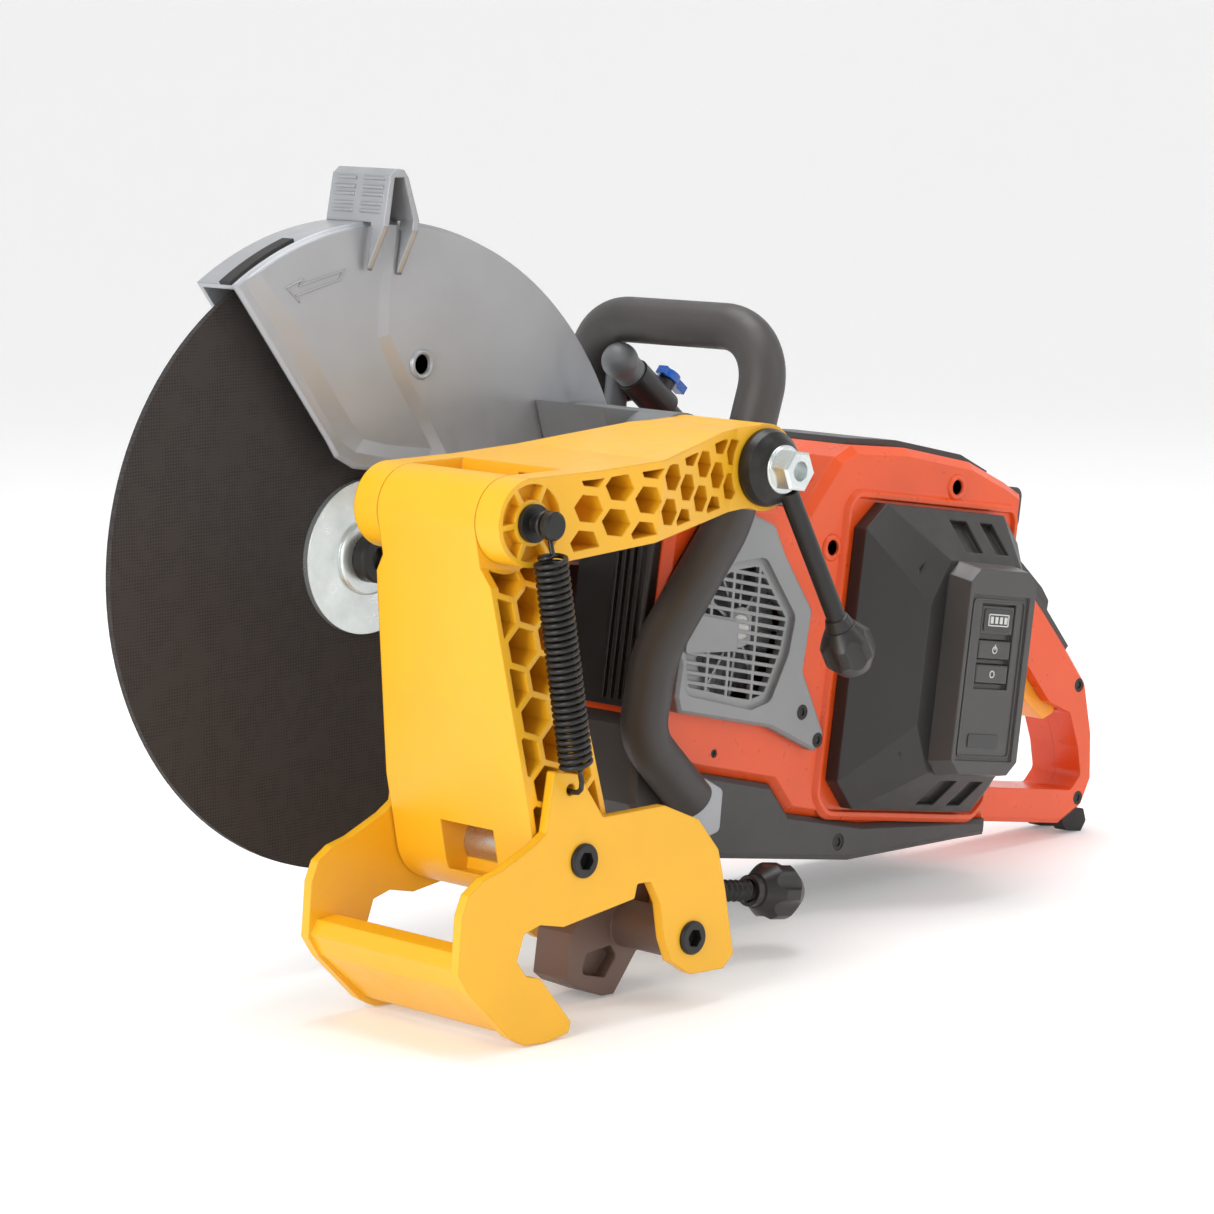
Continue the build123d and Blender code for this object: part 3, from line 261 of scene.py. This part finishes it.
# ---- shapes ---------------------------------------------------------------------------------
class Shape:
    """A mesh under construction, with its points in the saw frame in millimetres."""

    def __init__(self):
        self.mesh = bmesh.new()

    def loops(self, rows, joined=False):
        """Skins rings of points and caps them, or links the last ring to the first."""
        made = [[self.mesh.verts.new(p) for p in row] for row in rows]
        count = len(made[0])
        pairs = list(zip(made, made[1:])) + ([(made[-1], made[0])] if joined else [])
        for low, high in pairs:
            for i in range(count):
                n = (i + 1) % count
                self.mesh.faces.new((low[i], low[n], high[n], high[i]))
        if not joined:
            self.mesh.faces.new(made[0])
            self.mesh.faces.new(made[-1])
        return self

    def wire(self, points, radius, sides):
        """A round wire along points."""
        points = [Vector(p) for p in points]
        rows = []
        side = None
        for i, point in enumerate(points):
            after = points[min(i + 1, len(points) - 1)]
            before = points[max(i - 1, 0)]
            run = (after - before).normalized()
            side = run.orthogonal() if side is None else side - run * side.dot(run)
            side.normalize()
            up = run.cross(side)
            turn = [math.tau * k / sides for k in range(sides)]
            rows.append([point + (side * math.cos(a) + up * math.sin(a)) * radius for a in turn])
        return self.loops(rows)

    def lathe(self, profile, centre, axis=(0, -1, 0), sides=48):
        """Turns (radius, distance) points about an axis through a centre."""
        run = Vector(axis).normalized()
        side = Vector((0, 0, 1)) if abs(run.z) < 0.9 else Vector((1, 0, 0))
        side = (side - run * side.dot(run)).normalized()
        up = run.cross(side)
        rows = []
        for radius, along in profile:
            row = []
            for k in range(sides):
                a = math.tau * k / sides
                row.append(Vector(centre) + run * along + (side * math.cos(a) + up * math.sin(a)) * radius)
            rows.append(row)
        return self.loops(rows)

    def prism(self, face, near, far):
        """Extrudes an (x, z) outline from y far to y near."""
        return self.loops([[(x, far, z) for x, z in face], [(x, near, z) for x, z in face]])

    def rim(self, face, inner, near, far):
        """A flat frame between two outlines that have the same number of points."""
        rows = [[(x, far, z) for x, z in face], [(x, near, z) for x, z in face],
                [(x, near, z) for x, z in inner], [(x, far, z) for x, z in inner]]
        return self.loops(rows, joined=True)


def drawn_in(face, inset):
    """The outline moved inwards by a distance."""
    points = [Vector(p) for p in face]
    area = sum(a.x * b.y - b.x * a.y for a, b in zip(points, points[1:] + points[:1]))
    sign = 1 if area > 0 else -1
    moved = []
    for i, point in enumerate(points):
        before = (point - points[i - 1]).normalized()
        after = (points[(i + 1) % len(points)] - point).normalized()
        normals = [Vector((-d.y, d.x)) * sign for d in (before, after)]
        middle = (normals[0] + normals[1]).normalized()
        moved.append(tuple(point + middle * inset / max(0.4, middle.dot(normals[0]))))
    return moved


def rounded(face, radius, steps=4):
    """The outline with its corners cut by short curves."""
    points = [Vector(p) for p in face]
    soft = []
    for i, point in enumerate(points):
        before, after = points[i - 1] - point, points[(i + 1) % len(points)] - point
        reach = min(radius, before.length * 0.45, after.length * 0.45)
        start, end = point + before.normalized() * reach, point + after.normalized() * reach
        for k in range(steps + 1):
            f = k / steps
            soft.append(tuple(start * (1 - f) ** 2 + point * 2 * f * (1 - f) + end * f * f))
    return soft


def block(left, low, right, high):
    """The (x, z) outline of a rectangle."""
    return [(left, low), (right, low), (right, high), (left, high)]


def link(name, data):
    """Puts a data block into the scene."""
    made = bpy.data.objects.new(name, data)
    bpy.context.scene.collection.objects.link(made)
    return made


def add(name, shape, finish, body=None, smooth=35):
    """Puts a shape into the scene as a piece, in the row frame."""
    mesh = shape.mesh
    bmesh.ops.remove_doubles(mesh, verts=mesh.verts, dist=1e-4)
    bmesh.ops.recalc_face_normals(mesh, faces=mesh.faces)
    mesh.transform(SAW)
    data = bpy.data.meshes.new(name)
    mesh.to_mesh(data)
    mesh.free()
    data.materials.append(MATERIALS[finish])
    for polygon in data.polygons:
        polygon.use_smooth = True
    data.set_sharp_from_angle(angle=math.radians(smooth))
    made = link(name, data)
    if body:
        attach(made, body)
    return made


# ---- tension spring -------------------------------------------------------------------------
KNUCKLE = (-63.0, 33.0)  # x and z of the knuckle post
SPRING_Y = -210.5
SPRING_HOOK = (-14.0, -103.0)  # x and z of the hole in the clamp plate
HOOK_PATH = ((-3.2, 1.5, 9.0), (-1.6, 1.5, 5.0), (-0.6, 2.5, 1.5),
             (0, 5, -0.6), (0, 9, -1.0), (0, 13, -0.6))
COIL_R, WIRE_R, COIL_TURNS = 7.9, 1.45, 33
STEPS_PER_TURN, TAPER_STEPS = 18, 12
EYE_R, EYE_STEPS, EYE_ARC = 6.3, 21, 300


def spring_coil():
    """Closed coil between an eye round the knuckle post and a hook through the clamp plate."""
    top = Vector((KNUCKLE[0] + 5, SPRING_Y, KNUCKLE[1] - 15))
    foot = Vector((SPRING_HOOK[0] - 8, SPRING_Y, SPRING_HOOK[1] + 12))
    run = (foot - top).normalized()
    side = Vector((0, -1, 0))
    across = run.cross(side)
    points = []
    for k in range(EYE_STEPS + 1):
        a = math.radians(EYE_ARC / 2 - EYE_ARC * k / EYE_STEPS) + math.pi / 2
        x, z = KNUCKLE[0] + EYE_R * math.cos(a), KNUCKLE[1] + EYE_R * math.sin(a)
        points.append(Vector((x, SPRING_Y, z)))
    steps = COIL_TURNS * STEPS_PER_TURN
    for k in range(steps + 1):
        f = k / steps
        ease = min(1.0, f * steps / TAPER_STEPS, (1 - f) * steps / TAPER_STEPS)
        a = math.tau * COIL_TURNS * f
        swing = side * math.cos(a) + across * math.sin(a)
        points.append(top.lerp(foot, f) + swing * COIL_R * (0.25 + 0.75 * ease))
    hook = Vector((SPRING_HOOK[0], SPRING_Y, SPRING_HOOK[1]))
    points += [hook + Vector(place) for place in HOOK_PATH]
    made = add("spring_coil", Shape().wire(points, WIRE_R, sides=8), "black_steel", smooth=60)
    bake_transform(made)
    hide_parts("tension_spring")


# ---- clamp screw ----------------------------------------------------------------------------
SCREW_Y, SCREW_Z = -138.0, -165.0
SCREW_START, SCREW_END, KNOB_END = 106.0, 216.5, 232.6  # along x
CORE_R, CREST_R, PITCH, FLANK_SLOPE = 4.7, 6.45, 4.4, 2.6
THREAD_SIDES, RINGS_PER_PITCH = 24, 8
THREAD_FADE = 4  # length over which the thread runs out at each end


def screw_thread():
    """The clamp screw, with a thread that runs out at both ends."""
    length = SCREW_END - SCREW_START
    count = int(length / (PITCH / RINGS_PER_PITCH))
    rows = []
    for k in range(count + 1):
        x = SCREW_START + length * k / count
        fade = max(0.0, min(1.0, (x - SCREW_START) / THREAD_FADE, (SCREW_END - x) / THREAD_FADE))
        row = []
        for s in range(THREAD_SIDES):
            a = math.tau * s / THREAD_SIDES
            phase = (x / PITCH + s / THREAD_SIDES) % 1.0
            height = max(0.0, 1 - abs(phase - 0.5) * FLANK_SLOPE)
            r = CORE_R + (CREST_R - CORE_R) * height * fade
            row.append((x, SCREW_Y + r * math.cos(a), SCREW_Z + r * math.sin(a)))
        rows.append(row)
    made = add("clamp_screw_thread", Shape().loops(rows), "black_steel", "screw", smooth=60)
    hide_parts("clamp_screw")


def knob_insert():
    """Round recessed cap in the end of the star knob."""
    profile = [(0.6, 0.4), (4.2, 0.4), (4.8, 1.2), (6.4, 1.2), (6.9, 0.2), (6.9, -2)]
    cap = Shape().lathe(profile, (KNOB_END, SCREW_Y, SCREW_Z), (1, 0, 0))
    add("knob_cap", cap, "dark_plastic", "screw")


# ---- battery panel --------------------------------------------------------------------------
PANEL_Y = -142.0
WINDOW = (371, -8.5, 396, 5)  # left, low, right, high
LIGHT_FRAME = (374.6, -5.4, 393.2, 2.0)
LABEL = (368, -78, 395, -70)
BEAD = (359, -84, 407, 11)
LIGHTS, LIGHT_LEFT, LIGHT_LOW, LIGHT_HIGH = 4, 376.5, -3.8, 0.4
LIGHT_WIDTH, LIGHT_PITCH = 2.6, 4.2
KEY_X = 383.5
KEYS = ((-19.5, "charge_key", "charge_mark"), (-34.0, "mode_key", "mode_mark"))  # z, body, piece
RING_R, RING_SIDES = 2.3, 20


def battery_details():
    """Charge window with its marks, key marks, a blank label and a bead round them."""
    face = rounded(block(*WINDOW), 2.0)
    add("panel_window", Shape().prism(face, PANEL_Y + 1.4, PANEL_Y + 3), "dark_glass", "battery")
    marks = Shape()
    for k in range(LIGHTS):
        x = LIGHT_LEFT + LIGHT_PITCH * k
        light = block(x, LIGHT_LOW, x + LIGHT_WIDTH, LIGHT_HIGH)
        marks.prism(light, PANEL_Y + 1.0, PANEL_Y + 1.8)
    outer = rounded(block(*LIGHT_FRAME), 1.0)
    marks.rim(outer, drawn_in(outer, 0.8), PANEL_Y + 1.0, PANEL_Y + 1.8)
    add("panel_charge_marks", marks, "mark_white", "battery")
    turns = [math.tau * k / RING_SIDES for k in range(RING_SIDES)]
    for z, body, name in KEYS:
        ring = [(KEY_X + RING_R * math.cos(a), z + RING_R * math.sin(a)) for a in turns]
        mark = Shape().rim(ring, drawn_in(ring, 0.7), PANEL_Y + 1.15, PANEL_Y + 1.7)
        if body == "charge_key":
            stroke = block(KEY_X - 0.4, z, KEY_X + 0.4, z + 3.4)
            mark.prism(stroke, PANEL_Y + 1.1, PANEL_Y + 1.7)
        add(name, mark, "mark_white", body)
    face = rounded(block(*LABEL), 1.5)
    add("panel_label", Shape().prism(face, PANEL_Y + 0.9, PANEL_Y + 2), "dark_glass", "battery")
    outer = rounded(block(*BEAD), 4.0)
    bead = Shape().rim(outer, drawn_in(outer, 1.2), PANEL_Y + 0.7, PANEL_Y + 2)
    add("panel_bead", bead, "panel_grey", "battery")


# ---- guard relief ---------------------------------------------------------------------------
GUARD_LEFT = -18.0
COLLAR_X, COLLAR_Z = 9, 109
ARROW = [(-92, 141), (-80, 147), (-81.5, 143.5), (-52, 155), (-54.5, 148.5), (-83, 137), (-81, 133.5)]


def guard_relief():
    """Turning arrow and the collar of a hole."""
    arrow = Shape().rim(ARROW, drawn_in(ARROW, 1.0), GUARD_LEFT - 3.2, GUARD_LEFT - 2.0)
    add("guard_arrow", arrow, "silver_cast", "guard")
    profile = [(5.6, -1), (5.6, 1.2), (6.4, 1.8), (7.6, 1.8), (8.6, 0), (8.6, -1)]
    collar = Shape().lathe(profile, (COLLAR_X, GUARD_LEFT - 5, COLLAR_Z))
    add("guard_collar", collar, "silver_cast", "guard")


# ---- body shells ----------------------------------------------------------------------------
BODY_LEFT, BODY_RIGHT = -90.0, 16.0
BEZEL = [(300, 68), (446, 68), (452, 60), (452, -118), (440, -130), (304, -130), (292, -118), (292, 58)]
LEFT_BOSSES = ((286, 31), (391, 74))
RIGHT_SCREWS = ((318, 44), (426, 44), (318, -106), (426, -106), (240, -60))


def bezel_frame(face_y, outward, steps):
    """A frame along the bezel, from (inset, height) steps over a side of the body."""
    outer = rounded(BEZEL, 6.0)
    rows = []
    for inset, height in steps:
        rows.append([(x, face_y + outward * height, z) for x, z in drawn_in(outer, inset)])
    return Shape().loops(rows, joined=True)


def body_details():
    """Raised frame round the battery bay and the bosses of the body screws."""
    bay = bezel_frame(BODY_LEFT, -1, ((0.0, -1.0), (3.0, 2.6), (5.5, 2.6), (7.0, -1.0)))
    add("bay_frame", bay, "orange_shell", "saw")
    profile = [(4.6, 0.0), (4.6, 1.2), (5.6, 1.8), (7.2, 1.4), (8.4, 0.0)]
    bosses = Shape()
    for x, z in LEFT_BOSSES:
        bosses.lathe(profile, (x, BODY_LEFT + 0.2, z))
    add("screw_bosses", bosses, "orange_shell", "saw")


def right_side_details():
    """Raised frame and screw heads on the right half of the shell."""
    rim = bezel_frame(BODY_RIGHT, 1, ((4.0, -1.0), (7.0, 2.2), (10.0, 2.2), (12.5, -1.0)))
    add("right_frame", rim, "orange_shell", "saw")
    profile = [(2.4, -0.4), (2.4, 0.5), (4.2, 1.2), (5.0, 0.6), (5.0, -0.4)]
    heads = Shape()
    for x, z in RIGHT_SCREWS:
        heads.lathe(profile, (x, BODY_RIGHT, z), (0, 1, 0))
    add("right_screw_heads", heads, "black_steel", "saw")


# ---- lock lever -----------------------------------------------------------------------------
LEVER_WASHER = (134, -186.2, 74)
LEVER_START, LEVER_END = Vector((134, -183, 74)), Vector((206, -183, -21))
NECK_BACK = 15.5  # from the lever's end to the neck ring


def lever_details():
    """Neck ring under the ball knob of the lock lever and the washer under its nut."""
    profile = [(10.1, 0), (10.1, 1.4), (12.8, 1.4), (13.4, 0.7), (13.4, 0)]
    add("lever_washer", Shape().lathe(profile, LEVER_WASHER), "zinc", "lever")
    run = (LEVER_END - LEVER_START).normalized()
    profile = [(4.6, -6), (6.6, -5), (7.8, -1), (8.4, 3)]
    neck = Shape().lathe(profile, LEVER_END - run * NECK_BACK, run)
    add("knob_neck", neck, "dark_plastic", "lever")


spring_coil()
screw_thread()
battery_details()
guard_relief()
body_details()
right_side_details()
lever_details()
knob_insert()


# ---- camera, floor and light, in metres -----------------------------------------------------
YAW, PITCH_DOWN = math.radians(44.219), math.radians(8.678)
SENSOR_MM = 36.0
FOCAL_RATIO = 4200 / 1214  # focal length over image width
CAMERA_OFFSET = Vector((-1.509136, -1.746946, 0.323084))  # from the disc centre
FLOOR_R, BACK_R, BACK_H = 3.0, 5.0, 4.0
FLOOR_SIDES, SWEEP_STEPS = 96, 12
FLOOR_GLOW, SKY = 0.2, 0.46
WHITE = (1, 1, 1, 1)
LAMP_TARGET = Vector((0, 0, 0.2))
LAMPS = (  # name, place, size, watts
    ("top", (0.1, 0.3, 2.4), (1.6, 1.6), 36),
    ("left", (-2.3, -0.5, 1.0), (1.0, 1.4), 27),
    ("right", (1.5, -2.2, 1.7), (0.8, 1.6), 11),
)


def photo_camera():
    """The camera at the photograph's viewing angle."""
    data = bpy.data.cameras.new("camera")
    data.sensor_width = SENSOR_MM
    data.lens = SENSOR_MM * FOCAL_RATIO
    data.clip_end = 50
    camera = link("camera", data)
    camera.location = DISC_CENTRE + CAMERA_OFFSET
    camera.rotation_euler = (math.pi / 2 - PITCH_DOWN, 0, -YAW)
    bpy.context.scene.camera = camera


def paper():
    """Matt paper with a faint glow."""
    t = Tree("paper")
    tone = t.mix(t.noise(900, 1.0), (0.86, 0.86, 0.86, 1), (0.88, 0.88, 0.88, 1))
    t.put(t.shader.inputs["Base Color"], tone)
    t.shader.inputs["Roughness"].default_value = 0.9
    t.shader.inputs["Emission Color"].default_value = WHITE
    t.shader.inputs["Emission Strength"].default_value = FLOOR_GLOW
    t.shader.inputs["Specular IOR Level"].default_value = 0.1
    return t.material


def studio_floor():
    """A round floor that sweeps up into a wall."""
    sweep_r = BACK_R - FLOOR_R
    rings = [(FLOOR_R, 0.0)]
    for step in range(1, SWEEP_STEPS + 1):
        angle = math.pi / 2 * step / SWEEP_STEPS
        rings.append((FLOOR_R + sweep_r * math.sin(angle), sweep_r * (1 - math.cos(angle))))
    rings.append((BACK_R, BACK_H))
    turns = [math.tau * i / FLOOR_SIDES for i in range(FLOOR_SIDES)]
    mesh = bmesh.new()
    previous = None
    for radius, height in rings:
        loop = [mesh.verts.new((radius * math.cos(a), radius * math.sin(a), height)) for a in turns]
        if previous is None:
            mesh.faces.new(loop)
        else:
            for i in range(FLOOR_SIDES):
                n = (i + 1) % FLOOR_SIDES
                mesh.faces.new((previous[i], previous[n], loop[n], loop[i]))
        previous = loop
    bmesh.ops.recalc_face_normals(mesh, faces=mesh.faces)
    bmesh.ops.reverse_faces(mesh, faces=mesh.faces)
    data = bpy.data.meshes.new("studio_floor")
    mesh.to_mesh(data)
    mesh.free()
    for polygon in data.polygons:
        polygon.use_smooth = True
    data.materials.append(paper())
    floor = link("studio_floor", data)


def lamp(name, place, size, watts):
    """A rectangular area lamp that faces the saw."""
    data = bpy.data.lights.new(name, "AREA")
    data.shape = "RECTANGLE"
    data.size, data.size_y = size
    data.energy = watts
    made = link(name, data)
    made.location = place
    made.rotation_euler = (LAMP_TARGET - Vector(place)).to_track_quat("-Z", "Y").to_euler()


def studio_light():
    """An even white world and three soft lamps."""
    world = bpy.data.worlds.new("studio")
    world.use_nodes = True
    world.node_tree.nodes["Background"].inputs["Color"].default_value = WHITE
    world.node_tree.nodes["Background"].inputs["Strength"].default_value = SKY
    bpy.context.scene.world = world
    for name, place, size, watts in LAMPS:
        lamp(name, place, size, watts)


photo_camera()
studio_floor()
studio_light()
bpy.context.scene.view_settings.view_transform = "Standard"
